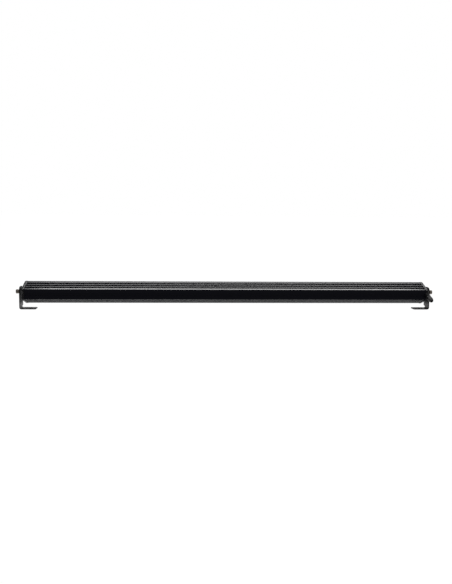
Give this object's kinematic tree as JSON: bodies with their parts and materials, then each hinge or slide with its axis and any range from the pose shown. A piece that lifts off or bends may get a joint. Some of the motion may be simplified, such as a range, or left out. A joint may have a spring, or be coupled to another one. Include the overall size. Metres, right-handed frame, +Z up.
{
  "type": "led light bar",
  "caption": "Long single-row LED light bar with a grooved tapered housing, end caps, a cable gland and two tilting foot brackets.",
  "frame": {"origin": "mid length of the bar, on the surface under the feet, straight below the pivot bolts and midway between the two foot slots", "axes": "+X along the bar, +Y the way the light goes, +Z up"},
  "size_m": [1.3158, 0.0966, 0.0837],
  "materials": {
    "housing_coat": "semi-gloss black powder coat on extruded aluminium",
    "cap_coat": "semi-gloss black powder coat on die-cast aluminium",
    "bracket_coat": "satin black powder coat on steel plate",
    "clear_lens": "clear polycarbonate",
    "black_rubber": "matt black silicone",
    "metallised_plastic": "mirror-bright vacuum metallising",
    "circuit_white": "white solder resist on an aluminium core",
    "led_phosphor": "yellow phosphor under clear silicone",
    "circuit_green": "green solder resist",
    "component_black": "moulded black epoxy and ferrite",
    "component_blue": "shrink-sleeved aluminium can",
    "white_plastic": "moulded nylon",
    "brass": "plain turned brass",
    "black_nylon": "fine moulded texture",
    "stainless_steel": "stainless steel, slightly brown"
  },
  "bodies": {
    "bar": {"housing": "housing_coat", "lens": "clear_lens", "lens_seal_upper": "black_rubber", "lens_seal_lower": "black_rubber", "reflector_1": "metallised_plastic", "reflector_2": "metallised_plastic", "reflector_3": "metallised_plastic", "reflector_4": "metallised_plastic", "led_board_1": "circuit_white", "led_board_2": "circuit_white", "led_board_3": "circuit_white", "led_board_4": "circuit_white", "led_emitters_1": "led_phosphor", "led_emitters_2": "led_phosphor", "led_emitters_3": "led_phosphor", "led_emitters_4": "led_phosphor", "board_screws": "stainless_steel", "board_jumpers": "white_plastic", "feed_bush": "white_plastic", "feed_pins": "brass", "driver_board": "circuit_green", "driver_inductors": "component_black", "driver_capacitors": "component_blue", "driver_chips": "component_black", "supply_terminal": "circuit_green", "driver_screws": "stainless_steel", "end_gasket_left": "black_rubber", "end_gasket_right": "black_rubber", "end_cap_left": "cap_coat", "end_cap_right": "cap_coat", "end_screws_left": "stainless_steel", "end_screws_right": "stainless_steel", "thread_insert_left": "brass", "thread_insert_right": "brass", "pivot_spacer_left": "black_nylon", "pivot_spacer_right": "black_nylon", "flat_washer_left": "stainless_steel", "flat_washer_right": "stainless_steel", "spring_washer_left": "stainless_steel", "spring_washer_right": "stainless_steel", "pivot_bolt_left": "stainless_steel", "pivot_bolt_right": "stainless_steel", "breather_vent": "black_nylon", "vent_o_ring": "black_rubber", "gland_body": "black_nylon", "gland_o_ring": "black_rubber", "gland_seal": "black_rubber", "gland_nut": "black_nylon"},
    "bracket_left": {"bracket_left": "bracket_coat"},
    "bracket_right": {"bracket_right": "bracket_coat"}
  },
  "joints": [
    {"name": "left_tilt", "type": "hinge", "parent": "bar", "child": "bracket_left", "pos_m": [-0.6445, 0, 0.054], "axis": [1, 0, 0], "range_deg": [-35, 22]},
    {"name": "right_tilt", "type": "hinge", "parent": "bar", "child": "bracket_right", "pos_m": [0.6445, 0, 0.054], "axis": [1, 0, 0], "range_deg": [-35, 22]}
  ]
}
